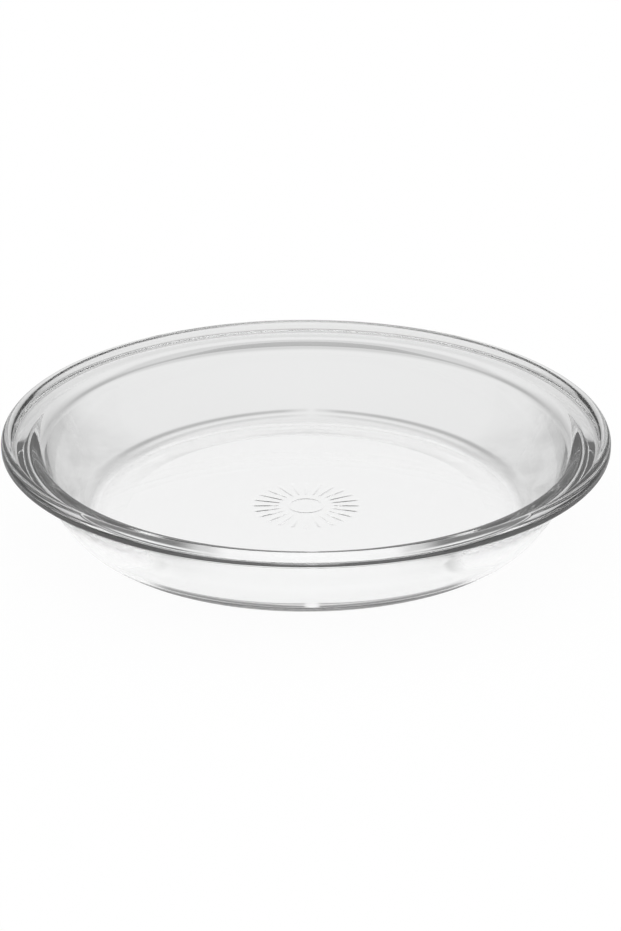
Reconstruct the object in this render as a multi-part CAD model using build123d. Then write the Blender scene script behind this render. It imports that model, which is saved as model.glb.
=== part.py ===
from build123d import *
import math
import os

# A round pie dish of clear pressed glass, modelled standing on its foot.
# Millimetres, +Z up, origin at the centre of the foot on the surface it stands on.

# Overall size
rim_diameter = 248.0
overall_height = 38.4

# Glass thickness
base_thickness = 4.8  # from the surface it stands on to the floor inside
wall_thickness = 4.2  # square to the wall, below the mouth
heel_thickness = 6.1  # square to the wall, beside the corner of the floor
rim_thickness = 5.0  # height of the outer edge

# Rim, from the edge inwards: a raised bead, rounded outwards, round a nearly flat ledge
bead_width = 5.35
bead_slope_width = 1.3  # how far its inner side leans
bead_rise = 5.0  # above the ledge
bead_flat = 0.33  # left on top between its two roundings
ledge_width = 10.15
ledge_fall = 1.1  # from the mouth towards the bead
underside_rise = 4.3  # the underside climbs this much towards the edge
bead_fillet = 0.8
ledge_fillet = 1.2
mouth_fillet = 4.4
edge_fillet = 1.0
underside_fillet = 5.0

# Wall, which grows steeper on its way up
wall_slope = 29.8  # degrees from upright, over its whole height
wall_turn = 10.6  # degrees between its lower and its upper half
outer_turn = 20.0  # the same on its outside
wall_bend_share = 0.68  # share of each half that the bend takes up
outer_bend_share = 0.58
floor_fillet = 7.0

# Foot
heel_fillet = 12.0
foot_ring_width = 10.4  # from the corner of the heel to the recess
recess_depth = 0.6
recess_slope_width = 12.0
recess_fillet = 15.0

# Pressed sunburst under the base
ray_count = 24
ray_inner_radius = 11.0
ray_outer_radius = 22.0
ray_inner_width = 0.8
ray_outer_width = 1.6
ring_radius = 7.0
ring_width = 0.8
relief_height = 0.12
relief_root = 0.6  # how far the relief's body runs up into the base


def step_from(point, slope, length):
    """The point that lies a length away, along a slope in degrees from upright."""
    angle = math.radians(slope)
    return (point[0] + length * math.sin(angle), point[1] + length * math.cos(angle))


def radius_at(point, slope, height):
    """Where a line through a point, at a slope, crosses a height."""
    return point[0] + (height - point[1]) * math.tan(math.radians(slope))


def shifted(point, slope, distance):
    """A point moved square to a slope, outwards and down."""
    angle = math.radians(slope)
    return (point[0] + distance * math.cos(angle), point[1] - distance * math.sin(angle))


def wall_bend(low, high, turn, share):
    """Where a wall's lower and upper half meet, both their slopes, and the radius between them."""
    half_turn = turn / 2
    slope = math.degrees(math.atan2(high[0] - low[0], high[1] - low[1]))
    half_length = math.dist(low, high) / 2 / math.cos(math.radians(half_turn))
    bend = step_from(low, slope + half_turn, half_length)
    bend_radius = half_length * share / math.tan(math.radians(half_turn))
    return bend, slope + half_turn, slope - half_turn, bend_radius


def build_outline():
    """Corners of the dish's section from the axis inside to the axis below, with their radii."""
    rim_radius = rim_diameter / 2
    bead_inner_top = (rim_radius - bead_width + bead_slope_width, overall_height)
    ledge_end = (rim_radius - bead_width, overall_height - bead_rise)
    bead_lean = math.atan2(bead_slope_width, bead_rise)
    bead_reach = bead_fillet * math.tan((math.pi / 2 - bead_lean) / 2)
    bead_round = bead_width - bead_slope_width - bead_reach - bead_flat
    mouth = (ledge_end[0] - ledge_width, ledge_end[1] + ledge_fall)
    edge_low = (rim_radius, overall_height - rim_thickness)

    floor_corner = (radius_at(mouth, wall_slope, base_thickness), base_thickness)
    bend, lower_slope, upper_slope, bend_radius = wall_bend(
        floor_corner, mouth, wall_turn, wall_bend_share
    )

    outer_low = shifted(floor_corner, lower_slope, heel_thickness)
    outer_high = shifted(mouth, upper_slope, wall_thickness)
    outer_bend, outer_lower_slope, outer_upper_slope, outer_bend_radius = wall_bend(
        outer_low, outer_high, outer_turn, outer_bend_share
    )
    heel_corner = (radius_at(outer_bend, outer_lower_slope, 0), 0)
    underside_height = edge_low[1] - underside_rise
    underside_corner = (radius_at(outer_bend, outer_upper_slope, underside_height), underside_height)
    foot_inner = (heel_corner[0] - foot_ring_width, 0)
    recess_corner = (foot_inner[0] - recess_slope_width, recess_depth)

    return [
        ((0, base_thickness), None),
        (floor_corner, floor_fillet),
        (bend, bend_radius),
        (mouth, mouth_fillet),
        (ledge_end, ledge_fillet),
        (bead_inner_top, bead_fillet),
        ((rim_radius, overall_height), bead_round),
        (edge_low, edge_fillet),
        (underside_corner, underside_fillet),
        (outer_bend, outer_bend_radius),
        (heel_corner, heel_fillet),
        (foot_inner, recess_fillet),
        (recess_corner, recess_fillet),
        ((0, recess_depth), None),
    ]


def build_bowl():
    """The plain dish: its section turned about the axis."""
    outline = build_outline()
    points = [Vector(radius, 0, height) for (radius, height), fillet in outline]
    radii = [fillet for corner, fillet in outline[1:-1]]
    section = FilletPolyline(*points, radius=radii)
    axis_line = Line(points[-1], points[0])
    return revolve(make_face([*section.edges(), axis_line]), axis=Axis.Z)


def build_sunburst():
    """The relief under the base: a ring of tapered rays round a small plain ring."""
    ray = Polygon(
        (ray_inner_radius, -ray_inner_width / 2),
        (ray_outer_radius, -ray_outer_width / 2),
        (ray_outer_radius, ray_outer_width / 2),
        (ray_inner_radius, ray_inner_width / 2),
        align=None,
    )
    rays = PolarLocations(0, ray_count) * ray
    ring = Circle(ring_radius + ring_width / 2) - Circle(ring_radius - ring_width / 2)
    figure = Sketch() + rays + ring
    lowest = Plane.XY.offset(recess_depth - relief_height)
    return extrude(lowest * figure, amount=relief_height + relief_root)


os.makedirs("parts", exist_ok=True)
glass_dish = build_bowl() + build_sunburst()
glass_dish.label = "glass_dish"
export_step(glass_dish, "parts/glass_dish.step")
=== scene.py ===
import math

import bpy
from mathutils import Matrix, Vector


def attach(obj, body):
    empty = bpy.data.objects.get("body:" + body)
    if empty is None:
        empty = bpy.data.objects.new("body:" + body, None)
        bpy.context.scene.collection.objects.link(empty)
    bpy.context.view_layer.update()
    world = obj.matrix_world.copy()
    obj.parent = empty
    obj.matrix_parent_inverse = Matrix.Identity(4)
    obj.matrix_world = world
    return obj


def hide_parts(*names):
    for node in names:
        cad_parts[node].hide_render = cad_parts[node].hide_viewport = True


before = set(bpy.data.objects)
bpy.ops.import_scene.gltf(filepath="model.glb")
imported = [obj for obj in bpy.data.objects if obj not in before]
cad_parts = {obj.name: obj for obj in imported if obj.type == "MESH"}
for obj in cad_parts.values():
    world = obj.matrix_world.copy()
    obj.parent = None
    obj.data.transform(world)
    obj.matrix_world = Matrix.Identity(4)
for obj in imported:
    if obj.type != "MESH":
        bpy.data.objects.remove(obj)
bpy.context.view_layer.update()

# A pie dish of clear pressed glass on a white table, in soft light from all round.
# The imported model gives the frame; the dish here follows the same section, drawn finer.

mm = 0.001
plainWhite = (1, 1, 1, 1)
print("frame: the packed dish is loaded")


class Wire:
    # an output socket of a node tree, so that sums on it are written as plain Python
    def __init__(self, graph, socket):
        self.graph = graph
        self.socket = socket

    def maths(self, operation, *values):
        sockets = dict(enumerate([self, *values]))
        return self.graph.node("ShaderNodeMath", {"operation": operation}, sockets)

    def reversed(self, operation, value):
        return self.graph.node("ShaderNodeMath", {"operation": operation}, {0: value, 1: self})

    def __add__(self, other):
        return self.maths("ADD", other)

    def __radd__(self, other):
        return self.reversed("ADD", other)

    def __sub__(self, other):
        return self.maths("SUBTRACT", other)

    def __rsub__(self, other):
        return self.reversed("SUBTRACT", other)

    def __mul__(self, other):
        return self.maths("MULTIPLY", other)

    def __rmul__(self, other):
        return self.reversed("MULTIPLY", other)

    def __truediv__(self, other):
        return self.maths("DIVIDE", other)

    def __rtruediv__(self, other):
        return self.reversed("DIVIDE", other)

    def __lt__(self, other):
        return self.maths("LESS_THAN", other)

    def __abs__(self):
        return self.maths("ABSOLUTE")

    def step(self, low, high, start=0.0, end=1.0):
        # a soft step from start to end, while this value goes from low to high
        ends = {"From Min": low, "From Max": high, "To Min": start, "To Max": end}
        return self.graph.node("ShaderNodeMapRange", {"interpolation_type": "SMOOTHSTEP"},
                               {"Value": self, **ends})

    def through(self, stops, whole):
        # follows (place, level) stops, eased between them, while this value goes from 0 to whole
        levels = [(place / whole, (level, level, level, 1)) for place, level in stops]
        return self.graph.node("ShaderNodeValToRGB", {"stops": levels}, {0: self / whole})


class Graph:
    # a node tree, emptied, with one method that makes any node in it
    def __init__(self, tree):
        self.tree = tree
        tree.nodes.clear()

    def node(self, kind, settings=None, sockets=None, output=0):
        made = self.tree.nodes.new(kind)
        for name, value in (settings or {}).items():
            if name == "stops":
                setStops(made.color_ramp, value)
            else:
                setattr(made, name, value)
        for name, value in (sockets or {}).items():
            if isinstance(value, Wire):
                self.tree.links.new(value.socket, made.inputs[name])
            else:
                made.inputs[name].default_value = value
        return Wire(self, made.outputs[output]) if made.outputs else made

    def other(self, wire, name):
        # another output of the node that a wire comes from
        return Wire(self, wire.socket.node.outputs[name])

    def parts(self, vector):
        # the three parts of a place or a direction
        split = self.node("ShaderNodeSeparateXYZ", {}, {"Vector": vector})
        return [self.other(split, axis) for axis in "XYZ"]

    def noise(self, place, shape):
        # noise over a place, with a Scale per metre, a Detail and a Roughness
        return self.node("ShaderNodeTexNoise", {"noise_dimensions": "3D"}, {
            "Vector": place, **shape})


def setStops(ramp, stops):
    ramp.interpolation = "EASE"
    while len(ramp.elements) < len(stops):
        ramp.elements.new(1.0)
    for element, (place, colour) in zip(ramp.elements, stops):
        element.position = place
        element.color = colour


# camera: at the photograph's angle, far enough for its gentle perspective
camera = {
    "distance": 1.3,  # metres from the centre of the foot
    "height angle": 24.5,  # degrees above the table
    "lens": 121.8,  # millimetres
    "sensor": 36.0,  # millimetres along the picture's longer side
    "shift": (0.0048, 0.0505),  # shares of that side
    "clip": (0.05, 50),  # metres
}


def makeCamera(plan):
    data = bpy.data.cameras.new("camera")
    data.lens = plan["lens"]
    data.sensor_width = plan["sensor"]
    data.shift_x, data.shift_y = plan["shift"]
    data.clip_start, data.clip_end = plan["clip"]
    made = bpy.data.objects.new("camera", data)
    bpy.context.scene.collection.objects.link(made)
    angle = math.radians(plan["height angle"])
    made.location = (0, -plan["distance"] * math.cos(angle), plan["distance"] * math.sin(angle))
    made.rotation_euler = (math.pi / 2 - angle, 0, 0)
    bpy.context.scene.camera = made


makeCamera(camera)
print("camera: placed")


# the dish's sizes in millimetres and degrees, down to the recess fillet the same as the part's own
dish = {
    "rim radius": 124.0,
    "height": 38.4,
    "base thickness": 4.8,
    "wall thickness": 4.2,  # below the mouth
    "heel thickness": 6.1,  # beside the corner of the floor
    "rim thickness": 5.0,
    "bead width": 5.35,
    "bead slope width": 1.3,
    "bead rise": 5.0,
    "bead flat": 0.33,
    "ledge width": 10.15,
    "ledge fall": 1.1,
    "underside rise": 4.3,
    "bead fillet": 0.8,
    "ledge fillet": 1.2,
    "mouth fillet": 4.4,
    "edge fillet": 1.0,
    "underside fillet": 5.0,
    "wall slope": 29.8,  # from upright
    "wall turn": 10.6,  # between its lower and its upper half
    "outer turn": 20.0,  # the same on its outside
    "bend share": 0.68,  # share of each half that the bend takes up
    "outer bend share": 0.58,
    "floor fillet": 7.0,
    "heel fillet": 12.0,
    "foot ring width": 10.4,
    "recess depth": 0.6,
    "recess slope width": 12.0,
    "recess fillet": 15.0,
    "arc step": 4.0,  # at most, between the points of a rounding
    "fewest arc steps": 2,
    "support": 0.35,  # from a rounding to the next ring on a straight stretch
    "support room": 3,  # a stretch of fewer supports than this has no such ring
    "weld": 0.001,  # points nearer than this become one
    "segments": 432,
}

# the pressed rays under the base, in millimetres
sunburst = {
    "Ray Count": 24,
    "Ray Inner Radius": 11.0,
    "Ray Outer Radius": 22.0,
    "Ray Inner Width": 0.8,
    "Ray Outer Width": 1.6,
    "Ring Radius": 7.0,
    "Ring Width": 0.8,
    "Relief Height": 0.12,
    "Relief Edge": 1.8,  # how wide its soft edges are
}


def wallBend(low, high, turn, share):
    # where a wall's two halves meet, the slopes of both and the radius between them
    half = math.radians(turn) / 2
    slope = math.atan2(high[0] - low[0], high[1] - low[1])
    length = math.dist(low, high) / 2 / math.cos(half)
    bend = (low[0] + length * math.sin(slope + half), low[1] + length * math.cos(slope + half))
    return bend, slope + half, slope - half, length * share / math.tan(half)


def sectionCorners(plan):
    # the section's corners with their fillets, from the axis inside to the axis below
    rim = plan["rim radius"]
    top = plan["height"]
    base = plan["base thickness"]
    beadTop = (rim - plan["bead width"] + plan["bead slope width"], top)
    ledgeEnd = (rim - plan["bead width"], top - plan["bead rise"])
    beadLean = math.atan2(plan["bead slope width"], plan["bead rise"])
    beadTurn = plan["bead fillet"] * math.tan(math.pi / 4 - beadLean / 2)
    beadRound = plan["bead width"] - plan["bead slope width"] - beadTurn - plan["bead flat"]
    mouth = (ledgeEnd[0] - plan["ledge width"], ledgeEnd[1] + plan["ledge fall"])
    edgeLow = (rim, top - plan["rim thickness"])

    slope = math.radians(plan["wall slope"])
    floor = (mouth[0] - (mouth[1] - base) * math.tan(slope), base)
    bend, lower, upper, bendFillet = wallBend(floor, mouth, plan["wall turn"], plan["bend share"])
    beside = [(point[0] + thick * math.cos(angle), point[1] - thick * math.sin(angle))
              for point, thick, angle in ((floor, plan["heel thickness"], lower),
                                          (mouth, plan["wall thickness"], upper))]
    outer, outerLower, outerUpper, outerFillet = wallBend(
        *beside, plan["outer turn"], plan["outer bend share"])
    heel = (outer[0] - outer[1] * math.tan(outerLower), 0)
    underHeight = edgeLow[1] - plan["underside rise"]
    under = (outer[0] + (underHeight - outer[1]) * math.tan(outerUpper), underHeight)
    footInner = (heel[0] - plan["foot ring width"], 0)
    recess = (footInner[0] - plan["recess slope width"], plan["recess depth"])
    return [
        ((0, base), 0), (floor, plan["floor fillet"]), (bend, bendFillet),
        (mouth, plan["mouth fillet"]), (ledgeEnd, plan["ledge fillet"]),
        (beadTop, plan["bead fillet"]), ((rim, top), beadRound),
        (edgeLow, plan["edge fillet"]), (under, plan["underside fillet"]),
        (outer, outerFillet), (heel, plan["heel fillet"]),
        (footInner, plan["recess fillet"]), (recess, plan["recess fillet"]),
        ((0, plan["recess depth"]), 0),
    ]


def arcPoints(before, corner, after, fillet, plan):
    # a rounding's points, from where it leaves one stretch to where it joins the next
    corner = Vector(corner)
    toBefore = (Vector(before) - corner).normalized()
    toAfter = (Vector(after) - corner).normalized()
    half = toBefore.angle(toAfter) / 2
    reach = fillet / math.tan(half)
    centre = corner + (toBefore + toAfter).normalized() * (fillet / math.sin(half))
    first = corner + toBefore * reach - centre
    last = corner + toAfter * reach - centre
    turn = first.angle_signed(last)
    steps = math.ceil(abs(math.degrees(turn)) / plan["arc step"])
    count = max(plan["fewest arc steps"], steps)
    points = []
    for place in range(count + 1):
        angle = -turn * place / count
        points.append(centre + Vector((first.x * math.cos(angle) - first.y * math.sin(angle),
                                       first.x * math.sin(angle) + first.y * math.cos(angle))))
    return points


def sectionPoints(plan, extraRadii):
    # the whole section, with a ring beside each rounding so that flats shade flat
    corners = sectionCorners(plan)
    runs = [[Vector(corners[0][0])]]
    for place in range(1, len(corners) - 1):
        before, after = corners[place - 1][0], corners[place + 1][0]
        corner, fillet = corners[place]
        runs.append(arcPoints(before, corner, after, fillet, plan))
    runs.append([Vector(corners[-1][0])])

    points = list(runs[0])
    for run, following in zip(runs, runs[1:]):
        start, end = run[-1], following[0]
        roomy = (end - start).length > plan["support"] * plan["support room"]
        aside = (end - start).normalized() * plan["support"]
        if roomy:
            points.append(start + aside)
        if following is runs[-1]:
            points += [Vector((radius, end.y)) for radius in extraRadii]
        elif roomy:
            points.append(end - aside)
        points += following
    return points


def reliefRadii(plan):
    # rings of the mesh that the relief needs, from the outside in
    edge = plan["Relief Edge"]
    apart = 0.4  # millimetres between the two plain rings beside it
    digits = 4  # kept of a radius, so that rings that fall together count once
    inner, outer = plan["Ray Inner Radius"], plan["Ray Outer Radius"]
    ringInner, ringOuter = [plan["Ring Radius"] + side * plan["Ring Width"] / 2 for side in (-1, 1)]
    radii = {round(end + shift * edge / 2, digits)
             for end in (inner, outer, ringInner, ringOuter) for shift in (-1, 0, 1)}
    for end, side in ((outer, 1), (inner, -1), (ringOuter, 1), (ringInner, -1)):
        radii |= {end + side * edge, end + side * (edge + apart)}
    return sorted(radii | {(inner + outer) / 2, plan["Ring Radius"]}, reverse=True)


def latheTree(relief):
    # turns a section of points (radius, 0, height) about the axis and presses the relief into it
    tree = bpy.data.node_groups.new("dishLathe", "GeometryNodeTree")
    tree.is_modifier = True
    graph = Graph(tree)
    kinds = {
        "Section": "Geometry", "Segments": "Int", "Base Thickness": "Float", "Weld": "Float",
        **dict.fromkeys(relief, "Float"), "Ray Count": "Int", "Glass": "Material",
    }
    names = {}
    for name, kind in kinds.items():
        socket = tree.interface.new_socket(
            name=name, in_out="INPUT", socket_type="NodeSocket" + kind)
        names[name] = socket.identifier
    tree.interface.new_socket(name="Dish", in_out="OUTPUT", socket_type="NodeSocketGeometry")

    entry = graph.node("NodeGroupInput")
    given = {name: graph.other(entry, name) for name in names}
    rings = graph.node("GeometryNodeAttributeDomainSize", {}, {"Geometry": given["Section"]})
    grid = graph.node("GeometryNodeMeshGrid", {}, {
        "Vertices X": given["Segments"] + 1, "Vertices Y": rings})
    index = graph.node("GeometryNodeInputIndex")
    column = (index / rings).maths("FLOOR")
    row = index - column * rings
    point = graph.node("GeometryNodeSampleIndex", {"data_type": "FLOAT_VECTOR"}, {
        "Geometry": given["Section"], "Value": graph.node("GeometryNodeInputPosition"),
        "Index": row})
    radius, _, height = graph.parts(point)
    turn = column * (2 * math.pi) / given["Segments"]

    # how far a point lies to the side of the nearest ray, and whether it is inside one
    pitch = 2 * math.pi / given["Ray Count"]
    fromRay = abs((turn / pitch).maths("FRACT") - 0.5)
    sideways = (0.5 - fromRay) * pitch * radius
    edge = given["Relief Edge"] * mm
    inner, outer = given["Ray Inner Radius"] * mm, given["Ray Outer Radius"] * mm
    share = (radius - inner) / (outer - inner)
    width = (given["Ray Inner Width"] * (1 - share) + given["Ray Outer Width"] * share) * mm
    onRay = ((width / 2 - sideways) / edge + 0.5).step(0.0, 1.0)
    onRay = onRay * ((radius - inner) / edge + 0.5).step(0.0, 1.0)
    onRay = onRay * ((outer - radius) / edge + 0.5).step(0.0, 1.0)
    fromRing = abs(radius - given["Ring Radius"] * mm)
    onRing = ((given["Ring Width"] * (mm / 2) - fromRing) / edge + 0.5).step(0.0, 1.0)
    below = height < given["Base Thickness"] * (mm / 2)  # only the underside has the relief
    drop = onRay.maths("MAXIMUM", onRing) * below * given["Relief Height"] * mm

    place = graph.node("ShaderNodeCombineXYZ", {}, {
        "X": radius * turn.maths("COSINE"), "Y": radius * turn.maths("SINE"), "Z": height - drop})
    turned = graph.node("GeometryNodeSetPosition", {}, {"Geometry": grid, "Position": place})
    closed = graph.node("GeometryNodeMergeByDistance", {}, {
        "Geometry": turned, "Distance": given["Weld"] * mm})
    outwards = graph.node("GeometryNodeFlipFaces", {}, {"Mesh": closed})
    smooth = graph.node("GeometryNodeSetShadeSmooth", {}, {"Geometry": outwards})
    solid = graph.node("GeometryNodeRealizeInstances", {}, {"Geometry": smooth})
    finished = graph.node("GeometryNodeSetMaterial", {}, {
        "Geometry": solid, "Material": given["Glass"]})
    graph.node("NodeGroupOutput", {}, {"Dish": finished})
    return tree, names


def makeDish(plan, relief, material):
    points = sectionPoints(plan, reliefRadii(relief))
    line = bpy.data.meshes.new("section")
    line.from_pydata([(x * mm, 0, z * mm) for x, z in points], [], [])
    source = bpy.data.objects.new("section", line)
    bpy.context.scene.collection.objects.link(source)
    tree, names = latheTree(relief)
    lathe = source.modifiers.new("lathe", "NODES")
    lathe.node_group = tree
    values = {"Segments": plan["segments"], "Base Thickness": plan["base thickness"],
              "Weld": plan["weld"], **relief, "Glass": material}
    for name, value in values.items():
        lathe[names[name]] = value
    ready = bpy.context.evaluated_depsgraph_get()
    mesh = bpy.data.meshes.new_from_object(source.evaluated_get(ready), depsgraph=ready)
    source.modifiers.remove(lathe)
    bpy.data.objects.remove(source)
    bpy.data.meshes.remove(line)
    mesh.name = "pieDish"
    made = bpy.data.objects.new("pieDish", mesh)
    bpy.context.scene.collection.objects.link(made)
    triangles = sum(len(face.vertices) - 2 for face in mesh.polygons)
    print("dish:", len(points), "rings,", triangles, "triangles")
    return made


# clear glass, fire-polished: slow waves from the mould, wear where it stands
glassFinish = {
    "tint": (0.994, 0.996, 0.995, 1),
    "clear share": 0.983,  # the rest of the light goes straight on, which lifts the darkest bands
    "ior": 1.5,
    "waves": {"Scale": 55.0, "Detail": 1.0, "Roughness": 0.4},
    "wave depth": 0.01,  # millimetres
    "grains": {"Scale": 900.0, "Detail": 3.0, "Roughness": 0.6},
    "grain range": (0.35, 0.65),
    "foot wear": 0.22,  # how rough the most worn grains are
    "foot height": (0.35, 0.05),  # millimetres above the table, where wear begins and is full
}


def makeGlass(plan):
    material = bpy.data.materials.new("pressedGlass")
    material.use_nodes = True
    graph = Graph(material.node_tree)
    place = graph.other(graph.node("ShaderNodeTexCoord"), "Object")
    _, _, height = graph.parts(place)
    wearFrom, wearFull = plan["foot height"]
    grains = graph.noise(place, plan["grains"]).step(*plan["grain range"])
    rubbed = height.step(wearFrom * mm, wearFull * mm) * grains * plan["foot wear"]
    bump = graph.node("ShaderNodeBump", {}, {
        "Strength": 1.0, "Distance": plan["wave depth"] * mm,
        "Height": graph.noise(place, plan["waves"])})
    surface = graph.node("ShaderNodeBsdfPrincipled", {}, {
        "Base Color": plan["tint"], "Roughness": rubbed, "IOR": plan["ior"],
        "Transmission Weight": 1.0, "Alpha": plan["clear share"], "Normal": bump})
    graph.node("ShaderNodeOutputMaterial", {}, {"Surface": surface})
    return material


glass = makeGlass(glassFinish)
pieDish = makeDish(dish, sunburst, glass)
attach(pieDish, "root")
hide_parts("glass_dish")


# table: white to the camera, with a faint shadow of the dish; to the glass it glows brightest in
# the middle, with painted shades that run (degrees round from the near side) and (millimetres out);
# a lean is how many millimetres nearer the centre a shade lies for each degree round
table = {
    "radius": 3.0,  # metres
    "corners": 96,
    "colour": (0.95, 0.95, 0.95, 1),
    "own white": 0.95,  # share of plain white, the rest is lit paint
    "glass level": 1.01,
    "front": 2.3,  # the near side's middle lies this much to the right
    "whole round": 180,  # degrees from the near side to the far side
    "whole out": 400,  # millimetres, past every shade's last stop
    "shades": {
        # painted shade on the table from just inside the foot outwards, at the sides and behind
        "under wall": {
            "depth": 0.22,
            "round": [(0, 0), (75, 0), (92, 0.9), (120, 1), (140, 0.75), (180, 0.75)],
            "out": [(84, 0), (91, 1)],
        },
        # painted contact shadow in a thin ring at the foot, in front, with a clear notch in the
        # middle
        "near foot": {
            "depth": 0.82,
            "round": [(0, 0), (1.2, 0), (2, 1), (36, 1), (45, 0)],
            "out": [(83, 0), (84.5, 1), (90, 1), (93.5, 0)],
            "lean": -0.1,
        },
        # painted dark zone outside the rim, from the front round to the sides, ending further out
        "near sides": {
            "depth": 0.87,
            "round": [(0, 0), (19, 0.05), (25, 0.4), (33, 1), (70, 1), (90, 0.6), (105, 0)],
            "out": [(107, 0), (118, 1)],
            "ends": (152, 158),
            "end lean": 0.44,
            "end lean stops": 60,  # degrees round
        },
        # painted shade, darker from 180 millimetres out, all round
        "far table": {
            "depth": 0.22,
            "round": [(0, 1)],
            "out": [(180, 0), (280, 1)],
        },
    },
    # painted shade, darker out to the left and right
    "side depth": 0.35,
    "side start": (98, 128),  # millimetres to the left or right
    "lines": {  # painted shade lines behind the corner of the floor, each fading over its width on either side
        "strong": {"radius": 71.8, "width": 4.6, "depth": 0.47},
        "faint": {"radius": 63.2, "width": 3.6, "depth": 0.2},
    },
    "line spread": 0.2,  # millimetres that they lie further out for each degree round
    "line round": [
        (0, 0), (100, 0), (118, 0.3), (134, 1), (160, 1), (172, 0.85), (178, 0.3), (180, 0)],
    # noise that breaks the painted shade at the sides into smudges
    "shade mottle": {"Scale": 42.0, "Detail": 4.0, "Roughness": 0.65},
    "mottle range": (0.35, 0.65),
    "mottle depth": 0.12,
    "mottle round": [(0, 0), (60, 0), (85, 1), (122, 1), (140, 0)],
    "mottle start": (80, 95),  # millimetres out
}


def rayKinds(graph):
    # whether light goes straight to the camera, and whether it has met the glass on its way
    path = graph.node("ShaderNodeLightPath")
    toCamera, through, off = [graph.other(path, f"Is {kind} Ray")
                              for kind in ("Camera", "Transmission", "Glossy")]
    return toCamera, through.maths("MAXIMUM", off)


def makeTable(plan):
    mesh = bpy.data.meshes.new("table")
    count = plan["corners"]
    turns = [2 * math.pi * place / count for place in range(count)]
    rim = [(plan["radius"] * math.cos(turn), plan["radius"] * math.sin(turn), 0) for turn in turns]
    mesh.from_pydata(rim, [], [list(range(count))])
    made = bpy.data.objects.new("table", mesh)
    bpy.context.scene.collection.objects.link(made)
    material = bpy.data.materials.new("tablePaint")
    material.use_nodes = True
    graph = Graph(material.node_tree)
    toCamera, toGlass = rayKinds(graph)
    place = graph.other(graph.node("ShaderNodeTexCoord"), "Object")
    across, away, _ = graph.parts(place)
    aside = abs(across - plan["front"] * mm)
    turn = aside.maths("ARCTAN2", away * -1) * math.degrees(1)
    out = graph.node("ShaderNodeVectorMath", {"operation": "LENGTH"}, {0: place}, "Value") / mm

    # the painted light and shade of the table as the glass sees it: darker to the sides, under each
    # shade and line, and in smudges
    level = 1 - (abs(across) / mm).step(*plan["side start"]) * plan["side depth"]
    for shade in plan["shades"].values():
        reach = out + turn * shade.get("lean", 0.0)
        depth = reach.through(shade["out"], plan["whole out"])
        depth = depth * turn.through(shade["round"], plan["whole round"])
        if "ends" in shade:
            end = out + turn.maths("MINIMUM", shade["end lean stops"]) * shade["end lean"]
            depth = depth * end.step(*shade["ends"], 1.0, 0.0)
        level = level * (1 - depth * shade["depth"])
    onLine = turn.through(plan["line round"], plan["whole round"])
    for line in plan["lines"].values():
        fromLine = abs(out - turn * plan["line spread"] - line["radius"])
        level = level * (1 - onLine * fromLine.step(0.0, line["width"], 1.0, 0.0) * line["depth"])
    # smudges of noise in the painted shade at the sides
    smudgedShade = graph.noise(place, plan["shade mottle"]).step(*plan["mottle range"])
    smudgedShade = smudgedShade * turn.through(plan["mottle round"], plan["whole round"])
    smudgedShade = smudgedShade * out.step(*plan["mottle start"])
    level = level * (1 - smudgedShade * plan["mottle depth"]) * plan["glass level"]

    paint = graph.node("ShaderNodeBsdfDiffuse", {}, {"Color": plan["colour"]})
    glow = graph.node("ShaderNodeEmission", {}, {
        "Color": plainWhite, "Strength": level * toGlass + toCamera})
    surface = graph.node("ShaderNodeMixShader", {}, {
        0: toCamera.maths("MAXIMUM", toGlass) * plan["own white"], 1: paint, 2: glow})
    graph.node("ShaderNodeOutputMaterial", {}, {"Surface": surface})
    mesh.materials.append(material)


makeTable(table)


# the room: white to the camera and on the table, a plain grey where the glass shows it
room = {
    "on the table": 1.05,
    "level": 0.62,
    "up": 0.1,  # added overhead
    "sides": -0.14,  # added straight to the left or right
    "horizon": 0.7,  # how bright it is low down, against the rest
    "horizon height": (0.1, 0.17),  # share of the way up where that ends
}


def makeRoom(plan):
    world = bpy.data.worlds.new("room")
    bpy.context.scene.world = world
    world.use_nodes = True
    graph = Graph(world.node_tree)
    toCamera, toGlass = rayKinds(graph)
    direction = graph.other(graph.node("ShaderNodeTexCoord"), "Generated")
    across, _, up = graph.parts(direction)
    seen = up * plan["up"] + abs(across) * plan["sides"] + plan["level"]
    seen = seen * up.step(*plan["horizon height"], plan["horizon"], 1.0)
    lamp = toCamera + (1 - toCamera) * plan["on the table"]
    level = seen * toGlass + lamp * (1 - toGlass)
    sky = graph.node("ShaderNodeBackground", {}, {"Color": plainWhite, "Strength": level})
    graph.node("ShaderNodeOutputWorld", {}, {"Surface": sky})


makeRoom(room)
bpy.context.scene.view_settings.view_transform = "Standard"

# how often light may turn; what the glass throws back more often than that stays dark, and most
# of the darkness of the bands along the rim comes from it
bounces = {"max_bounces": 20, "transmission_bounces": 20, "glossy_bounces": 5}
for name, most in bounces.items():
    setattr(bpy.context.scene.cycles, name, most)
print("studio: table and room made")
